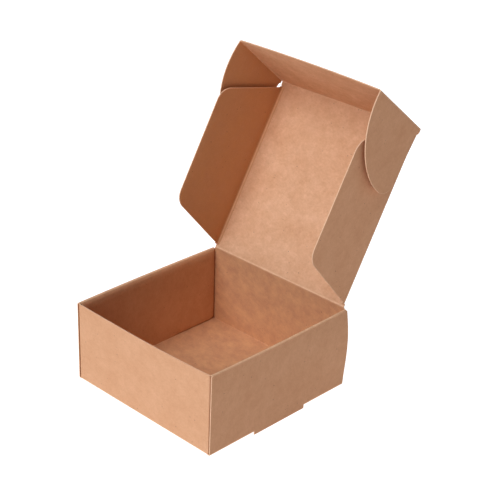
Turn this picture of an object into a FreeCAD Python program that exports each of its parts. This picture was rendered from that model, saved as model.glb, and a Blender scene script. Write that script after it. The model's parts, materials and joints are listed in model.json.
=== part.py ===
import FreeCAD, Part
import os
from math import radians, tan

# A small kraft carton, cut and folded from one sheet of card: a tray with double side
# walls, and a lid hinged to its back wall that carries two dust flaps and a front flap
# with a locking ear at each end. It stands open. All sizes are in millimetres.
#
# Frame: +Z up, +X to the right and -Y to the front. The origin is the centre of the
# base panel's underside. Each moving piece is drawn with the box shut, and then opened.

# The card and its clearances
BOARD = 0.35          # thickness of the card
FOLD_RADIUS = 0.05    # inside radius of a pressed fold
CREASE_GAP = 0.08     # between the two rounded edges that meet at a hinge crease
LAYER_PLAY = 0.05     # between folded layers that lie on each other
EAR_PLAY = 0.045      # each side of a locking ear in its slot
DUST_PLAY = 0.10      # between a dust flap and the wall that it slides along
FLOOR_PLAY = 0.15     # under an inner side wall
TAB_PLAY = 0.06       # behind a locking tab in its slot

# The tray
OUTER_WIDTH = 65.0    # over the side walls
OUTER_DEPTH = 63.8    # over the front and back walls
RIM_HEIGHT = 29.4     # from the base panel's underside to the rolled rims
FRONT_DROP = 0.2      # the front wall's edge below the rims
CORNER_FLAP = 19.4    # length of the four flaps held inside the side walls
CORNER_TAPER = 2.0    # a corner flap's free end is this much narrower at each edge
WALL_CHAMFER = 1.2    # the inner side walls' lower corners

# The locking strips under the side walls and the tabs that pass beside them
STRIP_LENGTH = 23.6   # at the side fold
STRIP_CENTRE = 0.3    # behind the tray's middle
STRIP_SLANT = 1.0     # each end leans in by this much at the free edge
TAB_LENGTH = 19.6
TAB_DROP = 0.6        # below the base panel's underside

# The lid, with its dust flaps
LID_CLEARANCE = 0.425  # between the rims and the shut lid
LID_REACH = 1.1       # the shut front flap stands this far off the front wall
LID_OPENING = 120.8   # degrees from shut
DUST_FLOOR_GAP = 1.075  # between a dust flap's free edge and the base panel, lid shut
DUST_REAR_GAP = 0.8   # from the back wall
DUST_FRONT_GAP = 0.15  # from the front wall, lid shut
DUST_TAPER = 19.0     # degrees, at both ends
DUST_CORNER = 4.0     # corner radius
RELIEF_RADIUS = 0.9   # round nick where the lid's three folds meet
RELIEF_OFFSET = 0.55  # its centre, outwards from the dust flap's fold

# The front flap, with its ears
FLAP_LIFT = 0.05      # the shut flap's edge above the base panel's underside
FLAP_OPENING = 10.0   # degrees beyond square
EAR_REACH = 26.8      # from its fold to its tip
EAR_CORNER = 5.9      # radius beside the tip
EAR_ROOT = 0.3        # straight start of the ear's curved edge
EAR_RIM_GAP = 0.1     # below the rolled rim
EAR_FLOOR_GAP = 0.15  # above the base panel

# Half widths, worked inwards layer by layer from the outside of a side wall
side_outer = OUTER_WIDTH / 2
side_inner = side_outer - BOARD
ear_fold_x = side_inner - EAR_PLAY - BOARD / 2
corner_outer = side_inner - BOARD - 2 * EAR_PLAY
inner_outer = corner_outer - BOARD - LAYER_PLAY
inner_inner = inner_outer - BOARD
dust_fold_x = inner_inner - DUST_PLAY - BOARD

# Depths and heights
front_y = -OUTER_DEPTH / 2
back_y = OUTER_DEPTH / 2
nose_offset = BOARD + CREASE_GAP
hinge_y = back_y - BOARD / 2
hinge_z = RIM_HEIGHT + LID_CLEARANCE + BOARD / 2
flap_y = front_y - LID_REACH - BOARD / 2
lid_underside = hinge_z - BOARD / 2
rim_underside = RIM_HEIGHT - BOARD
fold_outer = FOLD_RADIUS + BOARD
strip_drop = side_inner - inner_inner + TAB_PLAY
ear_top_z = rim_underside - EAR_RIM_GAP
ear_foot_z = BOARD + EAR_FLOOR_GAP

X_AXIS = FreeCAD.Vector(1, 0, 0)
Y_AXIS = FreeCAD.Vector(0, 1, 0)
Z_AXIS = FreeCAD.Vector(0, 0, 1)


def at(x, y, z):
    """A point of the part's frame."""
    return FreeCAD.Vector(x, y, z)


def block(low, high):
    """A box between two opposite corners."""
    size = high - low
    return Part.makeBox(size.x, size.y, size.z, low)


def polygon(points):
    """A flat face with straight edges through the points."""
    return Part.Face(Part.makePolygon(points + [points[0]]))


def rounded_edge(start, end):
    """A full-round card edge, a rod as thick as the card."""
    run = end - start
    return Part.makeCylinder(BOARD / 2, run.Length, start, run)


def merged(first, others):
    """One clean solid from pieces of the same sheet."""
    return first.fuse(others).removeSplitter().Solids[0]


def mirrored(shape):
    """The same shape on the other side of the box."""
    return shape.mirror(at(0, 0, 0), X_AXIS)


def sheet_side(points, across, side):
    """The edges of one face of a folded sheet, along the middle line's points."""
    half = side * BOARD / 2
    radius = FOLD_RADIUS + BOARD / 2
    runs = [(b - a).normalize() for a, b in zip(points, points[1:])]
    lefts = [across.cross(run).normalize() for run in runs]
    edges = []
    here = points[0] + lefts[0] * half
    for i, corner in enumerate(points[1:-1]):
        turn = runs[i].getAngle(runs[i + 1])
        reach = radius * tan(turn / 2)
        towards = 1 if runs[i + 1].dot(lefts[i]) > 0 else -1
        bend_in = corner - runs[i] * reach
        bend_out = corner + runs[i + 1] * reach
        centre = bend_in + lefts[i] * (radius * towards)
        middle = centre + (corner - centre).normalize() * (radius - towards * half)
        first = bend_in + lefts[i] * half
        last = bend_out + lefts[i + 1] * half
        edges.append(Part.LineSegment(here, first).toShape())
        edges.append(Part.Arc(first, middle, last).toShape())
        here = last
    end = points[-1] + lefts[-1] * half
    edges.append(Part.LineSegment(here, end).toShape())
    return edges, points[0] + lefts[0] * half, end


def folded(points, across):
    """A strip of card folded along the middle line's points, as wide as across."""
    left, left_start, left_end = sheet_side(points, across, 1)
    right, right_start, right_end = sheet_side(points, across, -1)
    ends = [
        Part.LineSegment(left_end, right_end).toShape(),
        Part.LineSegment(right_start, left_start).toShape(),
    ]
    outline = Part.Wire(Part.__sortEdges__(left + ends[:1] + right + ends[1:]))
    return Part.Face(outline).extrude(across)


def side_trough():
    """The base panel with both outer side walls folded up."""
    middle_x = side_outer - BOARD / 2
    top = RIM_HEIGHT - fold_outer
    line = [
        at(-middle_x, front_y, top),
        at(-middle_x, front_y, BOARD / 2),
        at(middle_x, front_y, BOARD / 2),
        at(middle_x, front_y, top),
    ]
    return folded(line, Y_AXIS * OUTER_DEPTH)


def end_trough():
    """The base panel with the front and back walls folded up."""
    half = corner_outer - fold_outer
    front_middle = front_y + BOARD / 2
    back_top = hinge_z - nose_offset
    line = [
        at(-half, front_middle, RIM_HEIGHT - FRONT_DROP),
        at(-half, front_middle, BOARD / 2),
        at(-half, hinge_y, BOARD / 2),
        at(-half, hinge_y, back_top),
    ]
    crease = rounded_edge(at(-half, hinge_y, back_top), at(half, hinge_y, back_top))
    return folded(line, X_AXIS * (2 * half)).fuse(crease)


def rolled_wall():
    """The right side wall's rim and inner wall, rolled over into the tray."""
    outer_middle = side_outer - BOARD / 2
    inner_middle = inner_inner + BOARD / 2
    start_y = front_y + BOARD + LAYER_PLAY
    line = [
        at(outer_middle, start_y, RIM_HEIGHT / 2),
        at(outer_middle, start_y, RIM_HEIGHT - BOARD / 2),
        at(inner_middle, start_y, RIM_HEIGHT - BOARD / 2),
        at(inner_middle, start_y, BOARD + FLOOR_PLAY),
    ]
    wall = folded(line, Y_AXIS * (-2 * start_y))
    return wall.cut([wall_corner(start_y, 1), wall_corner(-start_y, -1)])


def wall_corner(edge_y, inwards):
    """The wedge cut from an inner side wall's lower corner."""
    low_x = inner_inner - BOARD
    foot = BOARD + FLOOR_PLAY - LAYER_PLAY
    outline = [
        at(low_x, edge_y - inwards * LAYER_PLAY, foot),
        at(low_x, edge_y + inwards * WALL_CHAMFER, foot),
        at(low_x, edge_y - inwards * LAYER_PLAY, foot + WALL_CHAMFER),
    ]
    return polygon(outline).extrude(X_AXIS * (corner_outer - low_x - BOARD))


def corner_flap(edge_y, inwards):
    """A flap folded back from an end wall's right edge, inside the side wall."""
    wall_middle = edge_y + inwards * BOARD / 2
    flap_middle = corner_outer - BOARD / 2
    low_z = BOARD + LAYER_PLAY
    high_z = rim_underside - LAYER_PLAY
    end_y = edge_y + inwards * CORNER_FLAP
    line = [
        at(corner_outer - 2 * fold_outer, wall_middle, low_z),
        at(flap_middle, wall_middle, low_z),
        at(flap_middle, end_y, low_z),
    ]
    flap = folded(line, Z_AXIS * (high_z - low_z))
    taper = [taper_wedge(end_y, inwards, low_z, 1), taper_wedge(end_y, inwards, high_z, -1)]
    return flap.cut(taper)


def taper_wedge(end_y, inwards, edge_z, upwards):
    """The sliver cut from a corner flap's edge so that its end is narrower."""
    low_x = corner_outer - 2 * BOARD
    root_y = end_y - inwards * (CORNER_FLAP - 2 * fold_outer)
    outline = [
        at(low_x, root_y, edge_z),
        at(low_x, end_y, edge_z),
        at(low_x, end_y, edge_z + upwards * CORNER_TAPER),
    ]
    return polygon(outline).extrude(X_AXIS * (3 * BOARD))


def strip_outline(length, slant):
    """Half lengths of a slot or strip at the side fold and at its free edge."""
    front = STRIP_CENTRE - length / 2
    back = STRIP_CENTRE + length / 2
    return front, back, front + slant, back - slant


def base_slot():
    """The opening that the right locking strip leaves in the base panel."""
    front, back, front_in, back_in = strip_outline(STRIP_LENGTH, STRIP_SLANT)
    low_x = side_inner - strip_drop
    outline = [
        at(low_x, front_in, -BOARD),
        at(side_inner, front, -BOARD),
        at(side_outer, front, -BOARD),
        at(side_outer, back, -BOARD),
        at(side_inner, back, -BOARD),
        at(low_x, back_in, -BOARD),
    ]
    return polygon(outline).extrude(Z_AXIS * (2 * BOARD + FOLD_RADIUS))


def locking_strip():
    """The card freed by the slot, which stays in the right side wall's plane."""
    front, back, front_in, back_in = strip_outline(STRIP_LENGTH, STRIP_SLANT)
    outline = [
        at(side_inner, front_in, -strip_drop),
        at(side_inner, back_in, -strip_drop),
        at(side_inner, back, 0),
        at(side_inner, back, 2 * BOARD),
        at(side_inner, front, 2 * BOARD),
        at(side_inner, front, 0),
    ]
    return polygon(outline).extrude(X_AXIS * BOARD)


def locking_tab():
    """The tab on the right inner wall that passes down through the slot."""
    front, back, front_in, back_in = strip_outline(TAB_LENGTH, TAB_DROP)
    outline = [
        at(inner_inner, front_in, -TAB_DROP),
        at(inner_inner, back_in, -TAB_DROP),
        at(inner_inner, back, 0),
        at(inner_inner, back, 2 * BOARD),
        at(inner_inner, front, 2 * BOARD),
        at(inner_inner, front, 0),
    ]
    return polygon(outline).extrude(X_AXIS * BOARD)


def tray():
    """The folded tray: one sheet, with double side walls."""
    right = [rolled_wall(), corner_flap(front_y, 1), corner_flap(back_y, -1)]
    lock = [locking_strip(), locking_tab()]
    shell = side_trough().fuse([end_trough()] + right + [mirrored(s) for s in right])
    shell = shell.cut([base_slot(), mirrored(base_slot())])
    return merged(shell, lock + [mirrored(s) for s in lock])


def relief_punch():
    """The round punch where the right dust flap, the lid and the front flap meet."""
    centre = at(dust_fold_x + RELIEF_OFFSET, flap_y + RELIEF_RADIUS, RIM_HEIGHT)
    return Part.makeCylinder(RELIEF_RADIUS, hinge_z, centre, Z_AXIS)


def lid_panel():
    """The lid, with a round edge at its hinge and at its front fold."""
    half = dust_fold_x - CREASE_GAP
    front_edge = flap_y + nose_offset
    panel = block(at(-half, front_edge, lid_underside), at(half, hinge_y, lid_underside + BOARD))
    rounds = [
        rounded_edge(at(-half, hinge_y, hinge_z), at(half, hinge_y, hinge_z)),
        rounded_edge(at(-half, front_edge, hinge_z), at(half, front_edge, hinge_z)),
    ]
    nicks = [relief_punch(), mirrored(relief_punch())]
    return merged(panel, rounds).cut(nicks).Solids[0]


def dust_flap():
    """The right dust flap, hanging from the lid inside the tray's wall."""
    rear = hinge_y - BOARD / 2 - DUST_REAR_GAP
    front = front_y + BOARD + DUST_FRONT_GAP
    height = lid_underside - BOARD - DUST_FLOOR_GAP
    lean = height * tan(radians(DUST_TAPER))
    low_z = lid_underside - height
    outline = [
        at(dust_fold_x, front, lid_underside),
        at(dust_fold_x, front + lean, low_z),
        at(dust_fold_x, rear - lean, low_z),
        at(dust_fold_x, rear, lid_underside),
    ]
    flap = polygon(outline).extrude(X_AXIS * BOARD)
    corners = [e for e in flap.Edges if is_across(e) and e.CenterOfMass.z < low_z + BOARD]
    flap = flap.makeFillet(DUST_CORNER, corners)
    start = at(dust_fold_x, front, lid_underside)
    crease = Part.makeCylinder(BOARD, rear - front, start, Y_AXIS, 90)
    return merged(flap, [crease])


def is_across(edge):
    """Whether a straight edge runs through the card of a side flap."""
    ends = edge.Vertexes
    return len(ends) == 2 and abs(ends[0].X - ends[1].X) > BOARD / 2


def front_flap():
    """The front flap, square to the shut lid, with a round edge at each fold."""
    crease_half = dust_fold_x - CREASE_GAP
    half = ear_fold_x - nose_offset
    outline = [
        at(-half, flap_y - BOARD / 2, FLAP_LIFT),
        at(half, flap_y - BOARD / 2, FLAP_LIFT),
        at(half, flap_y - BOARD / 2, ear_top_z),
        at(crease_half, flap_y - BOARD / 2, ear_top_z),
        at(crease_half, flap_y - BOARD / 2, hinge_z),
        at(-crease_half, flap_y - BOARD / 2, hinge_z),
        at(-crease_half, flap_y - BOARD / 2, ear_top_z),
        at(-half, flap_y - BOARD / 2, ear_top_z),
    ]
    panel = polygon(outline).extrude(Y_AXIS * BOARD)
    side = rounded_edge(at(half, flap_y, FLAP_LIFT), at(half, flap_y, ear_top_z))
    crease = rounded_edge(at(-crease_half, flap_y, hinge_z), at(crease_half, flap_y, hinge_z))
    return merged(panel, [crease, side, mirrored(side)])


def ear():
    """The right locking ear, folded back from the front flap towards the hinge."""
    low_x = ear_fold_x - BOARD / 2
    tip_y = flap_y + EAR_REACH
    tip_z = ear_top_z - EAR_CORNER
    slant = EAR_CORNER * (1 - 0.5 ** 0.5)
    root_y = flap_y + EAR_ROOT
    top_start = at(low_x, flap_y, ear_top_z)
    top_end = at(low_x, tip_y - EAR_CORNER, ear_top_z)
    bend = at(low_x, tip_y - slant, ear_top_z - slant)
    tip = at(low_x, tip_y, tip_z)
    heel = at(low_x, root_y, ear_foot_z)
    foot = at(low_x, flap_y, ear_foot_z)
    outline = [
        Part.LineSegment(top_start, top_end).toShape(),
        Part.Arc(top_end, bend, tip).toShape(),
        quarter_ellipse(at(low_x, root_y, tip_z), tip, heel),
        Part.LineSegment(heel, foot).toShape(),
        Part.LineSegment(foot, top_start).toShape(),
    ]
    panel = Part.Face(Part.Wire(outline)).extrude(X_AXIS * BOARD)
    fold = rounded_edge(at(ear_fold_x, flap_y, ear_foot_z), at(ear_fold_x, flap_y, ear_top_z))
    return merged(panel, [fold])


def quarter_ellipse(centre, start, end):
    """A quarter of an ellipse between two points level with its centre."""
    if (start - centre).Length > (end - centre).Length:
        curve = Part.Ellipse(start, end, centre)
        return curve.toShape(curve.parameter(start), curve.parameter(end))
    curve = Part.Ellipse(end, start, centre)
    quarter = Part.Arc(curve, curve.parameter(end), curve.parameter(start))
    return quarter.toShape()


def opened_flap(shape):
    """A piece of the front flap, swung out beyond square."""
    shape.rotate(at(0, flap_y, hinge_z), X_AXIS, -FLAP_OPENING)
    return shape


def opened_lid(shape):
    """A piece of the lid, swung open on the back wall."""
    shape.rotate(at(0, hinge_y, hinge_z), X_AXIS, -LID_OPENING)
    return shape


def pieces():
    """Every sub-part by name, as the box stands open."""
    return {
        "tray": tray(),
        "lid_panel": opened_lid(lid_panel()),
        "right_dust_flap": opened_lid(dust_flap()),
        "left_dust_flap": opened_lid(mirrored(dust_flap())),
        "front_flap": opened_lid(opened_flap(front_flap())),
        "right_ear": opened_lid(opened_flap(ear())),
        "left_ear": opened_lid(opened_flap(mirrored(ear()))),
    }


def main():
    """Write one STEP file for each sub-part."""
    os.makedirs("parts", exist_ok=True)
    for name, shape in pieces().items():
        shape.exportStep("parts/" + name + ".step")
        print(name, "valid", shape.isValid(), "volume", round(shape.Volume, 1), "mm3")


main()
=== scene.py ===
"""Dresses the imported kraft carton: folded card, pressed creases, a pale floor and soft studio light.

Every piece is made as the real one is. A flat blank of card is scored, cut, thickened and then
folded up panel by panel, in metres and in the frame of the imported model. Pieces on the lid are
made as they lie with the box shut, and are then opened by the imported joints' own angles.
"""

from __future__ import annotations

import json
import logging
import math
from dataclasses import dataclass
from enum import Enum
from functools import reduce
from itertools import product
from typing import Callable, Iterable, Sequence

import bmesh
import bpy
from mathutils import Matrix, Vector


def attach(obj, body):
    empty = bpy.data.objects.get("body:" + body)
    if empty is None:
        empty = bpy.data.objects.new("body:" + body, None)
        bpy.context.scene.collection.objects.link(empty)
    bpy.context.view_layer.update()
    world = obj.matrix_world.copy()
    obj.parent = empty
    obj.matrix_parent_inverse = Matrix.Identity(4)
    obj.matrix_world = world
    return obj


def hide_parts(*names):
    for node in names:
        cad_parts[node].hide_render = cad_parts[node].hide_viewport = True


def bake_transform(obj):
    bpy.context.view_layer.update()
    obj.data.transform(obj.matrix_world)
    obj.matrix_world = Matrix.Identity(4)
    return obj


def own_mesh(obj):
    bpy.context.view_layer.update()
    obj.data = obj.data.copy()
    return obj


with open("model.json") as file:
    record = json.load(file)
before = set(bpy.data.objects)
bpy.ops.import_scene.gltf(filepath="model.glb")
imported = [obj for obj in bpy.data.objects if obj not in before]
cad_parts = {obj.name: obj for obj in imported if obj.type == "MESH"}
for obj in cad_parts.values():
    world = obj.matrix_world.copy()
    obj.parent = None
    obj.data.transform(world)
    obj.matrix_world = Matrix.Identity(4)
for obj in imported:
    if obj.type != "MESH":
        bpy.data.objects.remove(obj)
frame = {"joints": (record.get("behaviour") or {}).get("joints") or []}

LOG = logging.getLogger("carton")
MM = 0.001
X_AXIS = Vector((1, 0, 0))
Y_AXIS = Vector((0, 1, 0))
Z_AXIS = Vector((0, 0, 1))
MIRROR = Matrix.Scale(-1, 4, X_AXIS)
QUARTER_TURN = 90.0
QUARTER = math.radians(QUARTER_TURN)
TOUCH = 1e-7
PANEL_STEP = 4 * MM
WALL_STEP = 3 * MM
EAR_STEP = 2.5 * MM
CREASE_LAP = 0.25 * MM
FLOOR_GAP = 0.02 * MM

Region = Callable[[Vector], bool]
Colour = tuple[float, float, float]
Feed = bpy.types.NodeSocket | float | tuple


def clamp(value: float, low: float = 0.0, high: float = 1.0) -> float:
    """The value, kept between two limits."""
    return max(low, min(high, value))


class Side(Enum):
    """The two sides of the box; the left one is the right one mirrored."""

    RIGHT = 1
    LEFT = -1

    @property
    def word(self) -> str:
        """The side's name in the names of pieces and bodies."""
        return self.name.lower()

    @property
    def flip(self) -> Matrix:
        """Takes what is drawn on the right to this side."""
        return MIRROR if self is Side.LEFT else Matrix.Identity(4)


class Attribute(Enum):
    """Named marks that the card's material reads."""

    SHEET = "sheet"
    CUT = "cut_edge"
    # Paleness along folds: partly from pressing and handling, partly painted highlight.
    FOLD = "fold_wear"
    INNER = "inner_side"


@dataclass(frozen=True)
class Card:
    """The card stock."""

    thickness: float = 0.35 * MM
    fold_radius: float = 0.05 * MM
    edge_round: float = 0.13 * MM
    # Width of the pale band beside slanted and round cut edges, partly painted highlight along the edge.
    pale_rim: float = 0.22 * MM

    def bend_length(self, angle: float) -> float:
        """Length of the middle line that a fold of this angle, in radians, takes up."""
        return abs(angle) * (self.fold_radius + self.thickness / 2)

    def bend_lines(self, start: float, angle: float, steps: int = 4) -> list[float]:
        """Places for the score lines that let a bend curve.

        Args:
            start: Where the bend starts.
            angle: The fold's angle in radians.
            steps: Number of straight steps in the bend.

        Returns:
            Distances along the blank.
        """
        length = self.bend_length(angle)
        inside = [start + length * i / steps for i in range(steps + 1)]
        return [start - self.thickness] + inside + [start + length + self.thickness]


@dataclass(frozen=True)
class EarSpring:
    """How one ear stands out of true.

    Attributes:
        lean: How far it leans out of square, in degrees.
        slope: How the shut box's wall makes it stand out, for each metre of height; not used.
        cut_back: How much shorter the front flap is at its end, to let it open.
    """

    lean: float
    slope: float
    cut_back: float


@dataclass(frozen=True)
class CartonSizes:
    """The carton's sizes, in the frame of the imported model; angles are in degrees."""

    card: Card = Card()
    outer_width: float = 65.0 * MM
    outer_depth: float = 63.8 * MM
    rim_height: float = 29.4 * MM
    front_drop: float = 0.2 * MM
    corner_outer: float = 31.74 * MM
    rim_inner: float = 31.7 * MM
    foot_inner: float = 30.86 * MM
    foot_curl: float = 0.12 * MM
    neck: float = 1.3 * MM
    front_lean: float = 0.35 * MM
    front_rise: float = 0.35 * MM
    front_bow: float = 0.6 * MM
    side_bow: float = 0.4 * MM
    belly: float = 1.2 * MM
    belly_start: float = 5 * MM
    roll_gap: float = 0.6 * MM
    corner_flap: float = 19.4 * MM
    corner_taper: float = 2.0 * MM
    wall_chamfer: float = 1.2 * MM
    floor_play: float = 0.3 * MM
    strip_length: float = 23.6 * MM
    strip_centre: float = 0.3 * MM
    strip_drop: float = 1.25 * MM
    tab_length: float = 23.6 * MM
    tab_drop: float = 0.6 * MM
    lid_clearance: float = 0.425 * MM
    lid_reach: float = 1.1 * MM
    dust_fold_x: float = 30.51 * MM
    dust_height: float = 28.4 * MM
    dust_rear_gap: float = 0.8 * MM
    dust_front_gap: float = 0.5 * MM
    dust_taper: float = 19.0
    dust_front_corner: float = 6.0 * MM
    dust_rear_corner: float = 5.6 * MM
    dust_lean_front: float = 3.4
    dust_lean_rear: float = 2.0
    right_dust_lean: float = 0.9
    lid_front_half: float = 31.78 * MM
    lid_notch: float = 0.45 * MM
    lid_rear_half: float = 31.1 * MM
    flap_lift: float = 0.05 * MM
    flap_shoulder: float = 0.5 * MM
    flap_bow: float = 0.45 * MM
    flap_twist: float = 0.44 * MM
    flap_skew: float = 0.55 * MM
    flap_spring: float = 0.15 * MM
    ear_fold_x: float = 31.93 * MM
    ear_reach: float = 26.8 * MM
    ear_corner: float = 5.9 * MM
    ear_foot: float = 0.5 * MM
    ear_top: float = 28.95 * MM
    ear_root: float = 1.25 * MM
    ear_shoulder: float = 0.3 * MM
    right_ear: EarSpring = EarSpring(3.0, 0.0085, 0.0)
    left_ear: EarSpring = EarSpring(5.4, 0.0034, 0.5 * MM)
    ear_curl: float = 0.5 * MM
    ear_slot_x: float = 31.95 * MM
    hinge_crease: float = 0.5 * MM
    dust_crease: float = 0.85 * MM
    flap_crease: float = 0.4 * MM
    ear_crease: float = 0.27 * MM
    ear_gap: float = 0.14 * MM
    kerf: float = 0.02 * MM

    @property
    def hinge(self) -> Vector:
        """The lid hinge's middle, on the card's middle line."""
        half_card = self.card.thickness / 2
        return Vector(
            (0, self.outer_depth / 2 - half_card, self.rim_height + self.lid_clearance + half_card)
        )

    @property
    def flap_fold(self) -> Vector:
        """The middle of the fold between the shut lid and the front flap."""
        out = self.outer_depth / 2 + self.lid_reach + self.card.thickness / 2
        return Vector((0, -out, self.hinge.z))

    @property
    def strip_edge(self) -> float:
        """How far from the middle a locking strip's free edge lies in the base."""
        return self.outer_width / 2 - self.card.thickness - self.strip_drop

    def ear(self, side: Side) -> EarSpring:
        """How the ear on one side stands out of true."""
        return self.right_ear if side is Side.RIGHT else self.left_ear

    def front_warp(self, place: Vector) -> Vector:
        """How far the front flap and its ears stand out of true.

        Args:
            place: A place on them, in the shut box.

        Returns:
            The shift, which grows from the flap's fold down to its free edge.
        """
        share = clamp((self.flap_fold.z - place.z) / self.flap_fold.z)
        across = clamp(place.x / self.ear_fold_x, -1.0)
        out = self.flap_spring - self.flap_twist * across + self.flap_bow * (1 - across**2)
        return Vector((-self.flap_skew * share, -out * share, 0))

    @property
    def dust_rear(self) -> float:
        """The dust flaps' rear end at their fold."""
        return self.hinge.y - self.card.thickness / 2 - self.dust_rear_gap

    @property
    def dust_front(self) -> float:
        """The dust flaps' front end at their fold."""
        return -self.outer_depth / 2 + self.card.thickness + self.dust_front_gap

    @property
    def lid_underside(self) -> float:
        """Height of the shut lid's inner face."""
        return self.hinge.z - self.card.thickness / 2


SIZES = CartonSizes()


@dataclass(frozen=True)
class Fold:
    """A pressed fold across a flat blank.

    Attributes:
        outward: Unit vector in the blank's plane, towards the part that turns.
        start: Where the bend starts, measured along outward.
        angle: How far the part turns, in radians; positive turns it towards the inner face.
        region: Which flat places the fold carries.
        stiff: Which flat places turn with the flap although they lie before the fold.
        rub_and_highlight: How pale its ridge is, partly from handling and partly as painted highlight.
        ridge: Where along the bend it is palest, as a share of the bend.
    """

    outward: Vector
    start: float
    angle: float
    region: Region
    stiff: Region | None = None
    rub_and_highlight: float = 1.0
    ridge: float = 0.5

    def length(self, card: Card) -> float:
        """The bend's length on the middle line."""
        return card.bend_length(self.angle)


@dataclass(frozen=True)
class Grain:
    """A noise pattern on the sheet.

    Attributes:
        along: Length of its features, in metres.
        across: Their width.
        turn: Their angle to the sheet, in degrees.
        detail: How many finer layers it has.
        rough: How strong the finer layers are.
    """

    along: float
    across: float
    turn: float = 0.0
    detail: float = 2.0
    rough: float = 0.6


class Wiring:
    """Adds nodes to one tree and links them."""

    def __init__(self, tree: bpy.types.NodeTree) -> None:
        """Keeps the tree."""
        self.tree = tree

    def add(self, kind: str, **settings: object) -> bpy.types.Node:
        """Adds a shader node.

        Args:
            kind: The node's type, without its common prefix.
            settings: Properties to set on it.

        Returns:
            The node.
        """
        node = self.tree.nodes.new(f"ShaderNode{kind}")
        for name, value in settings.items():
            setattr(node, name, value)
        return node

    def feed(self, socket: bpy.types.NodeSocket, value: Feed) -> None:
        """Links a socket to another one, or sets it to a plain value.

        Args:
            socket: The socket.
            value: The other socket, or the value.
        """
        if isinstance(value, bpy.types.NodeSocket):
            self.tree.links.new(value, socket)
        else:
            socket.default_value = value

    def calc(self, operation: str, first: Feed, second: Feed = 0.0) -> bpy.types.NodeSocket:
        """One step of arithmetic.

        Args:
            operation: The Math node's operation.
            first: Its first value.
            second: Its second value.

        Returns:
            The result's socket.
        """
        node = self.add("Math", operation=operation)
        self.feed(node.inputs[0], first)
        self.feed(node.inputs[1], second)
        return node.outputs[0]

    def gather(self, operation: str, *values: Feed) -> bpy.types.NodeSocket:
        """Combines several values by one operation, such as their sum."""
        return reduce(lambda total, value: self.calc(operation, total, value), values)

    def tint(self, factor: Feed, first: Feed, second: Feed) -> bpy.types.NodeSocket:
        """Mixes two colours.

        Args:
            factor: Share of the second colour.
            first: The first colour.
            second: The second colour.

        Returns:
            The mixed colour's socket.
        """
        node = self.add("Mix", data_type="RGBA")
        self.feed(node.inputs[0], factor)
        self.feed(node.inputs[6], first)
        self.feed(node.inputs[7], second)
        return node.outputs[2]

    def remap(
        self, value: Feed, low: Feed, high: Feed, start: Feed = 0.0, end: Feed = 1.0
    ) -> bpy.types.NodeSocket:
        """A clamped ramp.

        Args:
            value: The value to map.
            low: Where the ramp starts.
            high: Where it ends.
            start: Its result at the start.
            end: Its result at the end.

        Returns:
            The mapped value's socket.
        """
        node = self.add("MapRange")
        for index, item in enumerate((value, low, high, start, end)):
            self.feed(node.inputs[index], item)
        return node.outputs[0]

    def noise(self, place: Feed, grain: Grain) -> bpy.types.NodeSocket:
        """A noise pattern, longer one way if asked.

        Args:
            place: Where on the sheet.
            grain: The pattern.

        Returns:
            The pattern's value, about 0.5.
        """
        turned = self.add("Mapping", vector_type="TEXTURE")
        self.feed(turned.inputs["Vector"], place)
        self.feed(turned.inputs["Rotation"], (0, 0, math.radians(grain.turn)))
        self.feed(turned.inputs["Scale"], (grain.along, grain.across, 1.0))
        node = self.add("TexNoise", noise_dimensions="2D")
        self.feed(node.inputs["Vector"], turned.outputs[0])
        self.feed(node.inputs["Scale"], 1.0)
        self.feed(node.inputs["Detail"], grain.detail)
        self.feed(node.inputs["Roughness"], grain.rough)
        return node.outputs[0]

    def attribute(self, mark: Attribute) -> bpy.types.NodeSocket:
        """The value of one of the card's marks."""
        return self.add("Attribute", attribute_name=mark.value).outputs["Fac"]


class Effect:
    """A shader node group that several finishes share."""

    def __init__(self, name: str, takes: dict[str, Feed], gives: Sequence[str]) -> None:
        """Makes the group and its sockets.

        Args:
            name: The group's name.
            takes: Its inputs with their usual values; a tuple makes a vector input.
            gives: Its outputs, all plain values.
        """
        self.tree = bpy.data.node_groups.new(name, "ShaderNodeTree")
        for label, usual in takes.items():
            kind = "NodeSocketVector" if isinstance(usual, tuple) else "NodeSocketFloat"
            socket = self.tree.interface.new_socket(name=label, in_out="INPUT", socket_type=kind)
            socket.default_value = usual
        for label in gives:
            self.tree.interface.new_socket(
                name=label, in_out="OUTPUT", socket_type="NodeSocketFloat"
            )
        self.board = Wiring(self.tree)
        self.takes = self.tree.nodes.new("NodeGroupInput").outputs
        self.gives = self.tree.nodes.new("NodeGroupOutput").inputs

    def used_in(self, board: Wiring, **values: Feed) -> bpy.types.NodeOutputs:
        """Places the group in a material.

        Args:
            board: The material's wiring.
            values: What its inputs take there.

        Returns:
            The group's outputs.
        """
        node = board.add("Group", node_tree=self.tree)
        for name, value in values.items():
            board.feed(node.inputs[name], value)
        return node.outputs


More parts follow.
